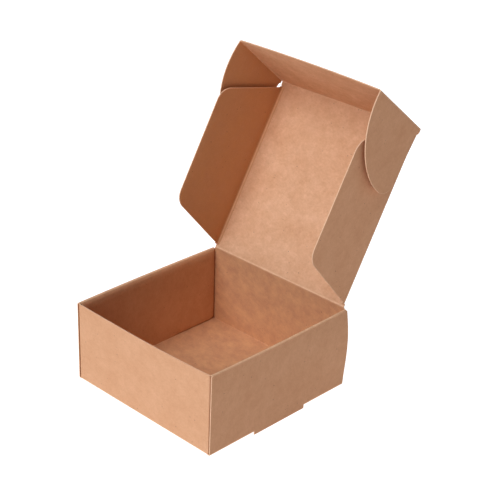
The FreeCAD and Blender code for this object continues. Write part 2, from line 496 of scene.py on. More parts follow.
class CardEffects:
    """What every face of kraft card shows: cloudy pulp, strands, specks, cut edges and pale folds, partly
    painted highlight.

    Each layer of clouds has its share of the whole. A span is where a pattern's value starts to
    show and where it shows in full.
    """

    CLOUDS = (
        (Grain(11 * MM, 8 * MM, 8, rough=0.55), 0.4),
        (Grain(3.2 * MM, 2.3 * MM, 20), 0.35),
        (Grain(1.0 * MM, 0.75 * MM, -14, rough=0.55), 0.35),
    )
    CLOUD_SPAN = (0.35, 0.75)
    TOOTH = Grain(0.16 * MM, 0.12 * MM)
    STRAND_SIZES = ((2.6 * MM, 0.15 * MM), (1.3 * MM, 0.1 * MM), (0.8 * MM, 0.12 * MM))
    STRAND_TURNS = {"Pale": (4, 63, -38), "Dark": (-9, 31, -71)}
    SPARSE_START = 0.74
    DENSE_START = 0.54
    STRAND_FADE = 0.16
    SPECK_SIZES = (0.08, 0.2)
    SPECK_CORE = 0.6
    SIZING = Grain(5.5 * MM, 4.0 * MM, -25, 5.0, 0.72)
    SIZING_SPAN = (0.34, 0.68)
    TORN = Grain(0.5 * MM, 0.5 * MM)
    TORN_SPAN = (0.25, 0.6)
    PATCHY = Grain(1.4 * MM, 1.4 * MM, 0, 3.0, 0.65)
    PATCHY_SPAN = (0.35, 0.65)
    LEAST_PALE = 0.6

    def __init__(self) -> None:
        """Builds each group once."""
        self.pulp = self._pulp()
        self.strands = self._strands()
        self.specks = self._specks()
        self.edges = self._edges()
        self.stains = self._stains()

    def _pulp(self) -> Effect:
        """Builds the clouds in the pulp, from a centimetre down to a fine tooth.

        Returns:
            The group.
        """
        effect = Effect("pulp_clouds", {"Place": (0, 0, 0)}, ("Cloud", "Tooth"))
        board, place = effect.board, effect.takes["Place"]
        layers = [board.calc("MULTIPLY", board.noise(place, g), share) for g, share in self.CLOUDS]
        board.feed(effect.gives["Cloud"], board.remap(board.gather("ADD", *layers), *self.CLOUD_SPAN))
        board.feed(effect.gives["Tooth"], board.noise(place, self.TOOTH))
        return effect

    def _strands(self) -> Effect:
        """Builds the pulp strands, which lie in several directions, most of them along the sheet.

        Returns:
            The group.
        """
        effect = Effect("pulp_strands", {"Place": (0, 0, 0), "Density": 0.5}, ("Pale", "Dark"))
        board, place = effect.board, effect.takes["Place"]
        density = effect.takes["Density"]
        low = board.remap(density, 0.0, 1.0, self.SPARSE_START, self.DENSE_START)
        high = board.calc("ADD", low, self.STRAND_FADE)
        for label, turns in self.STRAND_TURNS.items():
            grains = [Grain(*size, turn, rough=0.5) for size, turn in zip(self.STRAND_SIZES, turns)]
            most = board.gather("MAXIMUM", *(board.noise(place, grain) for grain in grains))
            board.feed(effect.gives[label], board.remap(most, low, high))
        return effect

    def _specks(self) -> Effect:
        """Builds the sparse dark specks of bark.

        Returns:
            The group.
        """
        takes = {"Place": (0, 0, 0), "Share": 0.1, "Spacing": 1.0 * MM}
        effect = Effect("bark_specks", takes, ("Speck",))
        board = effect.board
        cells = board.add("TexVoronoi", voronoi_dimensions="2D")
        board.feed(cells.inputs["Vector"], effect.takes["Place"])
        board.feed(cells.inputs["Scale"], board.calc("DIVIDE", 1.0, effect.takes["Spacing"]))
        pick = board.add("SeparateColor")
        board.feed(pick.inputs[0], cells.outputs["Color"])
        chosen = board.calc("LESS_THAN", pick.outputs[0], effect.takes["Share"])
        size = board.remap(pick.outputs[1], 0.0, 1.0, *self.SPECK_SIZES)
        core = board.calc("MULTIPLY", size, self.SPECK_CORE)
        near = board.remap(cells.outputs["Distance"], core, size, 1.0, 0.0)
        board.feed(effect.gives["Speck"], board.calc("MULTIPLY", near, chosen))
        return effect

    def _stains(self) -> Effect:
        """Builds the uneven sizing on the card's rougher inner side.

        Returns:
            The group.
        """
        effect = Effect("uneven_sizing", {"Place": (0, 0, 0)}, ("Stain",))
        patches = effect.board.noise(effect.takes["Place"], self.SIZING)
        effect.board.feed(effect.gives["Stain"], effect.board.remap(patches, *self.SIZING_SPAN))
        return effect

    def _edges(self) -> Effect:
        """Builds the raw cut edges, and the folds made pale in places, partly by pressing and partly as
        painted highlight.

        Returns:
            The group.
        """
        takes = {"Place": (0, 0, 0), "Cut": 0.0, "Fold": 0.0}
        effect = Effect("raw_edges", takes, ("Raw", "Rubbed_and_highlight"))
        board = effect.board
        for mark, label, grain, span in (
            ("Cut", "Raw", self.TORN, self.TORN_SPAN),
            ("Fold", "Rubbed_and_highlight", self.PATCHY, self.PATCHY_SPAN),
        ):
            patches = board.noise(effect.takes["Place"], grain)
            uneven = board.remap(patches, *span, self.LEAST_PALE, 1.0)
            board.feed(effect.gives[label], board.calc("MULTIPLY", effect.takes[mark], uneven))
        return effect


@dataclass(frozen=True)
class CardFinish:
    """Uncoated kraft card.

    Colours are linear, and each share says how strongly its layer shows. Bark count is the share of
    its evenly spaced places that hold a speck; the tooth's span lies between hollows and tips, whose
    roughness differs; and the strands' height is measured against the tooth's.
    """

    name: str
    body: Colour = (0.765, 0.427, 0.22)
    # Inner side's tone: lighter on the lid's card as painted light, darker on the flaps' and tray's cards
    # as painted shade.
    inner_body_painted_light_and_shade: Colour = (0.8, 0.465, 0.245)
    deep: Colour = (0.665, 0.343, 0.163)
    pale_strand: Colour = (0.81, 0.485, 0.27)
    dark_strand: Colour = (0.56, 0.275, 0.13)
    bark: Colour = (0.28, 0.13, 0.065)
    raw: Colour = (0.87, 0.56, 0.32)
    # Pale tone on folds: partly from pressing and handling, partly a painted highlight on rims and crease
    # ridges.
    rubbed_and_highlight: Colour = (0.98, 0.66, 0.37)
    stain: Colour = (0.56, 0.275, 0.135)
    cloud_share: float = 0.8
    stain_share: float = 0.2
    strand_share: float = 0.4
    bark_share: float = 0.7
    rub_and_highlight_share: float = 0.85
    bark_count: float = 0.015
    bark_spacing: float = 1.1 * MM
    gloss: float = 0.06
    roughness: tuple[float, float] = (0.78, 0.92)
    tooth_span: tuple[float, float] = (0.3, 0.7)
    strand_height: float = 0.6
    relief: float = 0.35
    relief_depth: float = 0.02 * MM

    def build(self, effects: CardEffects) -> bpy.types.Material:
        """Makes the material.

        Args:
            effects: The groups it shares with the other finishes.

        Returns:
            The material.
        """
        material = bpy.data.materials.new(self.name)
        material.use_nodes = True
        board = Wiring(material.node_tree)
        shader = material.node_tree.nodes["Principled BSDF"]
        place = board.add("UVMap", uv_map=Attribute.SHEET.value).outputs["UV"]
        cut, fold, inner = (board.attribute(a) for a in (Attribute.CUT, Attribute.FOLD, Attribute.INNER))
        pulp = effects.pulp.used_in(board, Place=place)
        strands = effects.strands.used_in(board, Place=place)
        stain = effects.stains.used_in(board, Place=place)["Stain"]
        specks = effects.specks.used_in(
            board, Place=place, Share=self.bark_count, Spacing=self.bark_spacing
        )
        edges = effects.edges.used_in(board, Place=place, Cut=cut, Fold=fold)
        # Inner faces take the inner tone, which paints light on the lid's card and shade on the other
        # cards.
        colour = board.tint(inner, (*self.body, 1), (*self.inner_body_painted_light_and_shade, 1))
        layers = (
            (pulp["Cloud"], self.cloud_share, self.deep),
            (board.calc("MULTIPLY", stain, inner), self.stain_share, self.stain),
            (strands["Pale"], self.strand_share, self.pale_strand),
            (strands["Dark"], self.strand_share, self.dark_strand),
            (specks["Speck"], self.bark_share, self.bark),
            # Folds turn pale, partly from pressing and partly as painted highlight.
            (edges["Rubbed_and_highlight"], self.rub_and_highlight_share, self.rubbed_and_highlight),
            (edges["Raw"], 1.0, self.raw),
        )
        for mask, share, tone in layers:
            colour = board.tint(board.calc("MULTIPLY", mask, share), colour, (*tone, 1))
        board.feed(shader.inputs["Base Color"], colour)
        rough = board.remap(pulp["Tooth"], *self.tooth_span, *self.roughness)
        board.feed(shader.inputs["Roughness"], rough)
        board.feed(shader.inputs["Specular IOR Level"], self.gloss)
        strand = board.calc("MULTIPLY", strands["Pale"], self.strand_height)
        torn = board.calc("MULTIPLY", edges["Raw"], pulp["Tooth"])
        height = board.gather("ADD", pulp["Tooth"], strand, torn)
        bump = board.add("Bump")
        board.feed(bump.inputs["Strength"], self.relief)
        board.feed(bump.inputs["Distance"], self.relief_depth)
        board.feed(bump.inputs["Height"], height)
        board.feed(shader.inputs["Normal"], bump.outputs["Normal"])
        return material


class Blank:
    """A flat piece of card with its outer face down on z = 0, to be cut, thickened and folded."""

    BACK_SHIFT = 1.7
    EDGE_SLANT = 0.7
    SQUEEZED_PALENESS = 0.2
    # Paleness of that band: partly the raw edge's tone, partly painted highlight.
    RIM_PALE_AND_HIGHLIGHT_SHARE = 0.6
    FLAT_NORMAL = 0.9
    EDGE_STEPS = 4
    OUTLINE_ANGLE = math.radians(60)
    SHARP_ANGLE = math.radians(35)

    def __init__(self, low: Sequence[float], high: Sequence[float], card: Card) -> None:
        """Starts from one rectangle.

        Args:
            low: Lowest corner in the blank's plane.
            high: Highest corner.
            card: The card stock.
        """
        self.card = card
        self.bm = bmesh.new()
        bmesh.ops.create_grid(self.bm, x_segments=1, y_segments=1, size=0.5)
        size = Vector((high[0] - low[0], high[1] - low[1], 1))
        middle = Vector(((high[0] + low[0]) / 2, (high[1] + low[1]) / 2, 0))
        bmesh.ops.scale(self.bm, vec=size, verts=self.bm.verts)
        bmesh.ops.translate(self.bm, vec=middle, verts=self.bm.verts)
        self.flat = self.bm.verts.layers.float_vector.new("flat")
        self.wear_and_highlight = self.bm.verts.layers.float.new(Attribute.FOLD.value)
        self.cut = self.bm.faces.layers.float.new(Attribute.CUT.value)
        self.inner = self.bm.faces.layers.float.new(Attribute.INNER.value)
        self.sheet = self.bm.loops.layers.uv.new(Attribute.SHEET.value)
        self.rims: list[tuple[Vector, Vector, Region]] = []

    def score(self, direction: Vector, places: Iterable[float]) -> None:
        """Divides the blank by straight lines.

        Args:
            direction: Unit vector in the plane, square to the lines.
            places: Distances of the lines along it.
        """
        for place in places:
            everything = self.bm.verts[:] + self.bm.edges[:] + self.bm.faces[:]
            bmesh.ops.bisect_plane(
                self.bm, geom=everything, dist=TOUCH, plane_co=direction * place, plane_no=direction
            )

    def cut_away(self, is_waste: Region) -> None:
        """Removes the faces whose centres are waste."""
        waste = [face for face in self.bm.faces if is_waste(face.calc_center_median())]
        bmesh.ops.delete(self.bm, geom=waste, context="FACES")

    def trim(self, point: Vector, outward: Vector, region: Region) -> None:
        """Cuts along a slanted line, and removes what lies beyond it.

        Args:
            point: A point of the line.
            outward: Direction of the waste.
            region: Which faces the cut reaches.
        """
        self._split(point - outward * self.card.pale_rim, outward, region)
        self._split(point, outward, region)
        self.cut_away(lambda at: region(at) and (at - point).dot(outward) > 0)
        self.rims.append((point, outward, region))

    def trim_arc(
        self, centre: Vector, radii: Vector, turn: tuple[float, float], steps: int, region: Region
    ) -> None:
        """Cuts a convex round edge as a run of short chords.

        Args:
            centre: Centre of the ellipse.
            radii: Its two half axes.
            turn: Angles of the first and the last point, in degrees.
            steps: Number of chords.
            region: Which faces the cut reaches.
        """
        start, end = turn
        angles = [math.radians(start + (end - start) * i / steps) for i in range(steps + 1)]
        points = [centre + Vector((radii.x * math.cos(a), radii.y * math.sin(a), 0)) for a in angles]
        for first, last in zip(points, points[1:]):
            outward = (last - first).cross(Z_AXIS).normalized()
            if outward.dot(first - centre) < 0:
                outward.negate()
            self.trim(first, outward, region)

    def _split(self, point: Vector, normal: Vector, region: Region) -> None:
        """Divides the faces of a region by a line.

        Args:
            point: A point of the line.
            normal: Its normal.
            region: Which faces it divides.
        """
        faces = [face for face in self.bm.faces if region(face.calc_center_median())]
        edges = dict.fromkeys(edge for face in faces for edge in face.edges)
        verts = dict.fromkeys(vert for face in faces for vert in face.verts)
        geometry = [*verts, *edges, *faces]
        bmesh.ops.bisect_plane(self.bm, geom=geometry, dist=TOUCH, plane_co=point, plane_no=normal)

    def thicken(self, soft_edges: bool = True) -> None:
        """Gives the card its thickness, softens its cut edges and marks them.

        Args:
            soft_edges: Whether the outline's edges are softened.
        """
        bmesh.ops.solidify(self.bm, geom=self.bm.faces[:], thickness=-self.card.thickness)
        bmesh.ops.recalc_face_normals(self.bm, faces=self.bm.faces[:])
        if soft_edges:
            rims = [edge for edge in self.bm.edges if self._is_outline(edge)]
            bmesh.ops.bevel(
                self.bm, geom=rims, offset=self.card.edge_round, offset_type="OFFSET",
                segments=self.EDGE_STEPS, profile=0.5, affect="EDGES", clamp_overlap=True, material=-1,
            )
        for face in self.bm.faces:
            is_flat = abs(face.normal.z) >= self.FLAT_NORMAL
            face[self.cut] = self._rim_share(face.calc_center_median()) if is_flat else 1.0
            face[self.inner] = 1.0 if face.normal.z > 0.5 else 0.0
        for vert in self.bm.verts:
            vert[self.flat] = vert.co

    def _rim_share(self, at: Vector) -> float:
        """How much of a cut edge's paleness a face beside it has; the band is partly painted highlight
        along the edge.

        Args:
            at: The face's centre, before folding.

        Returns:
            The share, 0 away from the slanted and round edges.
        """
        flat = Vector((at.x, at.y, 0))
        for point, outward, region in self.rims:
            if region(flat) and (flat - point).dot(outward) > -self.card.pale_rim:
                return self.RIM_PALE_AND_HIGHLIGHT_SHARE
        return 0.0

    @staticmethod
    def _is_outline(edge: bmesh.types.BMEdge) -> bool:
        """Whether an edge of the thickened blank runs along its outline."""
        return edge.is_manifold and edge.calc_face_angle(0.0) > Blank.OUTLINE_ANGLE

    def map_sheet(self, offset: Vector) -> None:
        """Maps the flat blank, so that the card's grain runs through every fold.

        Args:
            offset: Where on the sheet this blank was cut, in metres.
        """
        for face in self.bm.faces:
            side = self.BACK_SHIFT * face[self.inner]
            for loop in face.loops:
                place = loop.vert[self.flat] + offset
                lift = place.z * self.EDGE_SLANT + side
                loop[self.sheet].uv = (place.x + lift, place.y + lift)

    def fold(self, fold: Fold) -> None:
        """Turns the part beyond a fold, and bends the card at it.

        Args:
            fold: The fold.
        """
        length = fold.length(self.card)
        inner = self.card.thickness + self.card.fold_radius
        height = inner if fold.angle > 0 else -self.card.fold_radius
        centre = fold.outward * fold.start + Z_AXIS * height
        axis = fold.outward.cross(Z_AXIS)
        for vert in self.bm.verts:
            flat = vert[self.flat]
            beyond = flat.dot(fold.outward) - fold.start
            if fold.stiff is not None and fold.stiff(flat):
                beyond = length
            elif not fold.region(flat):
                continue
            else:
                self._wear_and_highlight(vert, beyond, fold)
            if beyond <= 0:
                continue
            slide = min(beyond, length)
            turn = Matrix.Rotation(fold.angle * slide / length, 4, axis)
            vert.co = turn @ (vert.co - fold.outward * slide - centre) + centre

    def _wear_and_highlight(self, vert: bmesh.types.BMVert, beyond: float, fold: Fold) -> None:
        """Marks how pale a pressed fold makes the card at a vertex, partly as stretched fibres and partly
        as painted highlight.

        Args:
            vert: The vertex.
            beyond: How far it lies beyond the bend's start.
            fold: The fold.
        """
        length = fold.length(self.card)
        away = abs(beyond - length * fold.ridge) / (length / 2 + self.card.thickness / 2)
        is_outer = vert[self.flat].z < self.card.thickness / 2
        share = fold.rub_and_highlight if is_outer == (fold.angle > 0) else fold.rub_and_highlight * self.SQUEEZED_PALENESS
        vert[self.wear_and_highlight] = max(vert[self.wear_and_highlight], share * (1.0 - away))

    def rub_and_highlight(self, reach: float, share: float) -> None:
        """Makes the inner side pale along the blank's x axis, partly as handling marks and partly as a
        painted highlight on the crease's ridge.

        Args:
            reach: How far the mark reaches from the axis.
            share: How pale it is on the axis.
        """
        for vert in self.bm.verts:
            flat = vert[self.flat]
            if flat.z > self.card.thickness / 2:
                vert[self.wear_and_highlight] = max(vert[self.wear_and_highlight], share * (1.0 - abs(flat.y) / reach))

    def shift(self, offset: Callable[[Vector, Vector], Vector | None]) -> None:
        """Moves the card gently out of true.

        Args:
            offset: Gives a shift from a vertex's flat place and its folded place, or None.
        """
        for vert in self.bm.verts:
            moved = offset(vert[self.flat], vert.co)
            if moved is not None:
                vert.co += moved

    def place(self, matrix: Matrix) -> None:
        """Moves the whole blank.

        Args:
            matrix: From the blank's place to the new one; it may mirror.
        """
        bmesh.ops.transform(self.bm, matrix=matrix, verts=self.bm.verts)
        if matrix.determinant() < 0:
            bmesh.ops.reverse_faces(self.bm, faces=self.bm.faces[:])

    def to_object(self, name: str, material: bpy.types.Material) -> bpy.types.Object:
        """Ends the blank as an object at the origin.

        Args:
            name: The object's name.
            material: Its material.

        Returns:
            The new object, in the scene.
        """
        mesh = bpy.data.meshes.new(name)
        self.bm.to_mesh(mesh)
        self.bm.free()
        mesh.materials.append(material)
        mesh.shade_smooth()
        mesh.set_sharp_from_angle(angle=self.SHARP_ANGLE)
        piece = bpy.data.objects.new(name, mesh)
        bpy.context.scene.collection.objects.link(piece)
        return piece


def spaced(low: float, high: float, step: float) -> list[float]:
    """Places between two ends, with neither of them, evenly spaced by about one step."""
    count = max(1, round((high - low) / step))
    return [low + (high - low) * i / count for i in range(1, count)]


def both_ways(places: Iterable[float]) -> list[float]:
    """The places and their mirror images about 0."""
    kept = list(places)
    return kept + [-place for place in kept]


class Opening:
    """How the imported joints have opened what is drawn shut."""

    def __init__(self, joints: Sequence[dict], sizes: CartonSizes) -> None:
        """Reads the joints.

        Args:
            joints: The frame's joints.
            sizes: The carton's sizes.
        """
        self.limits = {joint["name"]: joint["range_deg"] for joint in joints}
        self.lid = self._turn("lid_hinge", sizes.hinge)
        self.front_flap = self.lid @ self._turn("front_flap_fold", sizes.flap_fold)

    def shut_at(self, name: str) -> float:
        """The angle in degrees at which a joint is shut, its lower limit."""
        return self.limits[name][0]

    def _turn(self, name: str, centre: Vector) -> Matrix:
        """The turn about X from shut to the rest pose.

        Args:
            name: The joint.
            centre: Where it turns in the shut box.

        Returns:
            The turn.
        """
        angle = math.radians(self.shut_at(name))
        shift = Matrix.Translation(centre)
        return shift @ Matrix.Rotation(angle, 4, "X") @ shift.inverted()


def panel_matrix(origin: Vector, along: Vector, across: Vector) -> Matrix:
    """Places a flat panel in the shut box, or a camera in the studio.

    Args:
        origin: Where its origin goes; a panel's lies on its outer face.
        along: Where its x axis points.
        across: Where its y axis points.

    Returns:
        The matrix; the z axis, towards a panel's inner face, follows from the other two.
    """
    inner = along.cross(across)
    rows = [(along[i], across[i], inner[i], origin[i]) for i in range(3)]
    return Matrix(rows + [(0, 0, 0, 1)])


@dataclass
class Part:
    """A part of the carton, cut from one blank.

    Attributes:
        sizes: The carton's sizes.
        material: The card.
        opening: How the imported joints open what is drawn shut.
        side: The side that it is on, where it comes in two; it is drawn on the right.
    """

    sizes: CartonSizes
    material: bpy.types.Material
    opening: Opening
    side: Side = Side.RIGHT

    def build(self) -> bpy.types.Object:
        """Cuts, folds and places the part, each in its own way."""
        raise NotImplementedError

    def dress(self, body: str, node: str) -> None:
        """Builds the part and hands it to its body.

        Args:
            body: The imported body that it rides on.
            node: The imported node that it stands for.
        """
        piece = self.build()
        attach(piece, body)
        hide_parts(node)
        LOG.info("%s: %d faces", piece.name, len(piece.data.polygons))


@dataclass
class Tray(Part):
    """The folded tray with its double side walls.

    Its places are measured on the flat sheet, outwards from the middle.
    """

    SHEET_PLACE = Vector((0.2, 0.2, 0))
    FLAP_PLAY = 0.1 * MM
    CORNER_PALENESS = 0.1
    LEAN_POWER = 1.5
    BELLY_POWER = 1.3
    NECK_POWER = 0.6

    def __post_init__(self) -> None:
        """Works out where the folds and edges lie."""
        sizes = self.sizes
        card = sizes.card
        self.bend = card.bend_length(QUARTER)
        self.outer_radius = card.fold_radius + card.thickness
        wall = sizes.rim_height - 2 * self.outer_radius
        self.half_width = sizes.outer_width / 2
        self.half_depth = sizes.outer_depth / 2
        self.side_fold = self.half_width - self.outer_radius
        self.end_fold = self.half_depth - self.outer_radius
        self.end_start = self.end_fold + self.bend
        self.roll_edge = self.end_fold - sizes.roll_gap
        self.rim_fold = self.side_fold + self.bend + wall
        rim_width = max(0.0, self.half_width - sizes.rim_inner - 2 * self.outer_radius)
        self.inner_fold = self.rim_fold + self.bend + rim_width
        foot_gap = sizes.floor_play + card.thickness - self.outer_radius
        self.side_end = self.inner_fold + self.bend + wall - foot_gap
        self.corner_fold = sizes.corner_outer - self.outer_radius
        self.front_end = self.end_start + sizes.rim_height - sizes.front_drop - self.outer_radius
        self.back_end = self.end_start + sizes.hinge.z - sizes.hinge_crease - self.outer_radius
        self.flap_low = self.end_start + self.FLAP_PLAY
        self.flap_slant = self.end_start + wall - card.thickness
        self.flap_end = self.corner_fold + self.bend + sizes.corner_flap - self.outer_radius

    def build(self) -> bpy.types.Object:
        """Cuts, thickens and folds the tray.

        Returns:
            The tray's object.
        """
        sizes = self.sizes
        reach = self.side_end + sizes.tab_drop + sizes.card.thickness + sizes.floor_play
        blank = Blank((-reach, -self.front_end), (reach, self.back_end), sizes.card)
        self._score(blank)
        blank.cut_away(self._is_waste)
        self._trim(blank)
        blank.thicken()
        blank.map_sheet(self.SHEET_PLACE)
        for fold in self._folds():
            blank.fold(fold)
        blank.shift(self._relax)
        return blank.to_object("card_tray", self.material)

    def _score(self, blank: Blank) -> None:
        """Divides the sheet along its folds and cuts, and evenly between them.

        Args:
            blank: The sheet.
        """
        sizes = self.sizes
        card = sizes.card
        xs = [self.side_end, self.flap_end, sizes.strip_edge]
        xs += [self.corner_fold + sizes.kerf, sizes.strip_edge - sizes.kerf]
        for start in (self.side_fold, self.rim_fold, self.inner_fold, self.corner_fold):
            xs += card.bend_lines(start, QUARTER)
        xs += spaced(0, self.corner_fold, PANEL_STEP)
        xs += spaced(self.side_fold + self.bend, self.rim_fold, WALL_STEP)
        xs += spaced(self.inner_fold + self.bend, self.side_end, WALL_STEP)
        xs += [self.inner_fold + self.bend + sizes.neck - self.outer_radius]
        blank.score(X_AXIS, both_ways(xs) + [0])
        ys = [self.end_start, self.roll_edge, self.flap_low, self.front_end]
        ys += card.bend_lines(self.end_fold, QUARTER)
        ys += spaced(0, self.end_fold, PANEL_STEP)
        ys += spaced(self.flap_low, self.front_end, WALL_STEP)
        blank.score(Y_AXIS, both_ways(ys))
        half_strip = sizes.strip_length / 2
        ends = [s * h for s in (-1, 1) for h in (half_strip, sizes.tab_length / 2)]
        cuts = [s * (half_strip + sizes.kerf) for s in (-1, 1)]
        blank.score(Y_AXIS, [0] + [sizes.strip_centre + place for place in ends + cuts])

    def _is_waste(self, place: Vector) -> bool:
        """Whether a place of the sheet is outside the tray's blank.

        Args:
            place: The place.

        Returns:
            Whether it is cut away.
        """
        across, along = abs(place.x), abs(place.y)
        if along > self.end_start or (along > self.end_fold and across < self.side_fold):
            return self._is_end_waste(place)
        if across < self.side_fold:
            return self._is_slot(place)
        if across > self.side_end:
            return abs(place.y - self.sizes.strip_centre) > self.sizes.tab_length / 2
        if across > self.inner_fold + self.bend:
            return along > self.roll_edge
        return across > self.rim_fold and along > self.end_fold

    def _is_end_waste(self, place: Vector) -> bool:
        """Whether a place beyond the front or back fold is waste.

        Args:
            place: The place.

        Returns:
            Whether it is cut away.
        """
        across, along = abs(place.x), abs(place.y)
        if across < self.corner_fold:
            return along > (self.front_end if place.y < 0 else self.back_end)
        if along < self.end_start and across < self.side_fold:
            return across < self.corner_fold + self.sizes.kerf
        return across > self.flap_end or not self.flap_low < along < self.front_end

    def _is_slot(self, place: Vector) -> bool:
        """Whether a place of the base is in the cut round a locking strip.

        Args:
            place: The place.

        Returns:
            Whether it is cut away.
        """
        sizes = self.sizes
        inward = sizes.strip_edge - abs(place.x)
        beyond = abs(place.y - sizes.strip_centre) - sizes.strip_length / 2
        return inward <= sizes.kerf and beyond <= sizes.kerf and (inward > 0 or beyond > 0)

    def _is_strip(self, flat: Vector) -> bool:
        """Whether a flat place is on a locking strip.

        Args:
            flat: The place.

        Returns:
            Whether it is on the strip, which stays in its side wall's plane.
        """
        sizes = self.sizes
        inside = abs(flat.y - sizes.strip_centre) < sizes.strip_length / 2 + sizes.kerf / 2
        return inside and sizes.strip_edge - sizes.kerf / 2 < abs(flat.x) < self.side_fold + self.bend

    def _trim(self, blank: Blank) -> None:
        """Cuts the slanted corners of the inner walls and of the corner flaps.

        Args:
            blank: The sheet.
        """
        sizes = self.sizes
        chamfer = sizes.wall_chamfer
        slope = math.atan2(sizes.corner_taper, sizes.corner_flap)
        root = self.corner_fold + self.bend
        for sx, sy in product((-1, 1), repeat=2):
            blank.trim(
                Vector((sx * self.side_end, sy * (self.roll_edge - chamfer), 0)),
                Vector((sx, sy, 0)).normalized(),
                lambda at, sx=sx, sy=sy: at.x * sx > self.side_end - 2 * chamfer
                and self.roll_edge - 2 * chamfer < at.y * sy < self.end_start,
            )
            for height, lean in ((self.flap_low, -1), (self.flap_slant, 1)):
                blank.trim(
                    Vector((sx * root, sy * height, 0)),
                    Vector((sx * math.sin(slope), sy * lean * math.cos(slope), 0)),
                    lambda at, sx=sx, sy=sy: root < at.x * sx < self.flap_end
                    and self.end_start < at.y * sy < self.front_end,
                )

    def _folds(self) -> list[Fold]:
        """Lists the tray's folds.

        Returns:
            The folds, the outermost first.
        """
        folds = []
        for way in (1, -1):
            outward = X_AXIS * way
            folds.append(Fold(outward, self.inner_fold, QUARTER, self._on_side, ridge=0.0))
            folds.append(Fold(outward, self.rim_fold, QUARTER, self._on_side, ridge=1.0))
            for end in (1, -1):
                on_flap = self._on_corner_flap(end)
                folds.append(Fold(outward, self.corner_fold, QUARTER, on_flap, rub_and_highlight=self.CORNER_PALENESS))
        for way in (1, -1):
            folds.append(
                Fold(
                    X_AXIS * way, self.side_fold, QUARTER, self._on_side,
                    lambda at, way=way: at.x * way > 0 and self._is_strip(at),
                )
            )
        return folds + [Fold(Y_AXIS * end, self.end_fold, QUARTER, self._on_end) for end in (1, -1)]

    def _on_corner_flap(self, end: int) -> Region:
        """The region of one end arm that turns with its corner flaps."""
        return lambda at: at.y * end > (self.end_start + self.flap_low) / 2

    def _on_side(self, flat: Vector) -> bool:
        """Whether a flat place is on the base or an arm that becomes a side wall."""
        return abs(flat.y) < self.end_start + TOUCH and not self._is_strip(flat)

    def _on_end(self, flat: Vector) -> bool:
        """Whether a flat place is on the base or an arm that becomes an end wall."""
        on_arm = abs(flat.y) > self.end_start + TOUCH
        return on_arm or abs(flat.x) < self.corner_fold + self.sizes.kerf / 2

    def _relax(self, flat: Vector, place: Vector) -> Vector | None:
        """How far hand-folded walls stand out of true.

        Args:
            flat: A place on the sheet.
            place: Where folding has put it.

        Returns:
            The shift, or None where there is none.
        """
        sizes = self.sizes
        rise = clamp(place.z / sizes.rim_height)
        across, along = abs(flat.x), abs(flat.y)
        lift = self._corner_rise(place) * rise
        if across < self.corner_fold and flat.y < -self.end_fold:
            arch = math.cos(math.pi * flat.x / sizes.outer_width)
            return Vector((0, -sizes.front_bow * arch * rise**2, lift))
        is_base = across < self.side_fold and along < self.end_start
        if is_base or across < self.corner_fold or self._is_strip(flat):
            return None
        outward = self._lean(place) * rise
        if along > self.end_start + TOUCH:
            outward *= clamp((self.half_depth - abs(place.y)) / sizes.neck)
        elif across < self.rim_fold + self.bend / 2:
            outward += self._belly(flat, rise)
        else:
            outward -= self._neck(place)
            if across < self.side_end - TOUCH:
                outward -= sizes.foot_curl * (1 - rise)
        return Vector((math.copysign(1, flat.x) * outward, 0, lift))

    def _corner_rise(self, place: Vector) -> float:
        """How far the rims climb towards the front right corner."""
        right, front = clamp(place.x / self.half_width), clamp(-place.y / self.half_depth)
        return self.sizes.front_rise * right**2 * front**2

    def _lean(self, place: Vector) -> float:
        """How far a side wall's rim stands out, half way along or at the right wall's front end.

        Args:
            place: A place on the folded wall.

        Returns:
            The distance at the rim.
        """
        share = clamp(place.y / self.half_depth, -1.0)
        front = self.sizes.front_lean * clamp(-share) ** self.LEAN_POWER if place.x > 0 else 0.0
        return self.sizes.side_bow * (1 - share**2) + front

    def _belly(self, flat: Vector, rise: float) -> float:
        """How far the outer side wall's rear edge bulges.

        Args:
            flat: A place on the sheet.
            rise: Its share of the wall's height.

        Returns:
            The distance outwards.
        """
        start = self.sizes.belly_start
        rear = max(0.0, (flat.y + start) / (self.half_depth + start))
        return self.sizes.belly * math.sin(math.pi * rise**self.BELLY_POWER) * rear**2

    def _neck(self, place: Vector) -> float:
        """How far the inner side wall stands in from its rim, within a short neck below the roll."""
        share = clamp((self.sizes.rim_height - place.z) / self.sizes.neck)
        return (self.sizes.rim_inner - self.sizes.foot_inner) * share**self.NECK_POWER


class LidPanel(Part):
    """The lid, between its hinge and its three folds."""

    SHEET_PLACE = Vector((0.2, 0.3, 0))
    NOTCH_SLANT = Vector((2, -1, 0))

    def build(self) -> bpy.types.Object:
        """Cuts the lid's panel and opens it.

        Returns:
            The lid's object.
        """
        sizes = self.sizes
        half = sizes.lid_front_half
        rear_half = sizes.lid_rear_half
        inset = sizes.dust_fold_x - sizes.dust_crease
        end = sizes.hinge.y - sizes.flap_fold.y - sizes.flap_crease
        rear_end = sizes.hinge.y - sizes.dust_rear
        front_end = sizes.hinge.y - sizes.dust_front
        blank = Blank((-half, sizes.hinge_crease), (half, end), sizes.card)
        blank.score(X_AXIS, spaced(-inset, inset, PANEL_STEP) + both_ways([inset, rear_half]))
        blank.score(Y_AXIS, [rear_end] + spaced(rear_end, front_end, PANEL_STEP) + [front_end])
        blank.cut_away(lambda at: abs(at.x) > inset and rear_end < at.y < front_end)
        blank.cut_away(lambda at: abs(at.x) > rear_half and at.y < rear_end)
        for way in (side.value for side in Side):
            corner = Vector((way * (half - sizes.lid_notch), front_end, 0))
            slanted = Vector((way * self.NOTCH_SLANT.x, self.NOTCH_SLANT.y, 0)).normalized()
            blank.trim(corner, slanted, lambda at, w=way: at.x * w > inset and at.y > front_end)
        blank.thicken()
        blank.map_sheet(self.SHEET_PLACE)
        origin = sizes.hinge + Z_AXIS * (sizes.card.thickness / 2)
        blank.place(self.opening.lid @ panel_matrix(origin, X_AXIS, -Y_AXIS))
        return blank.to_object("card_lid", self.material)


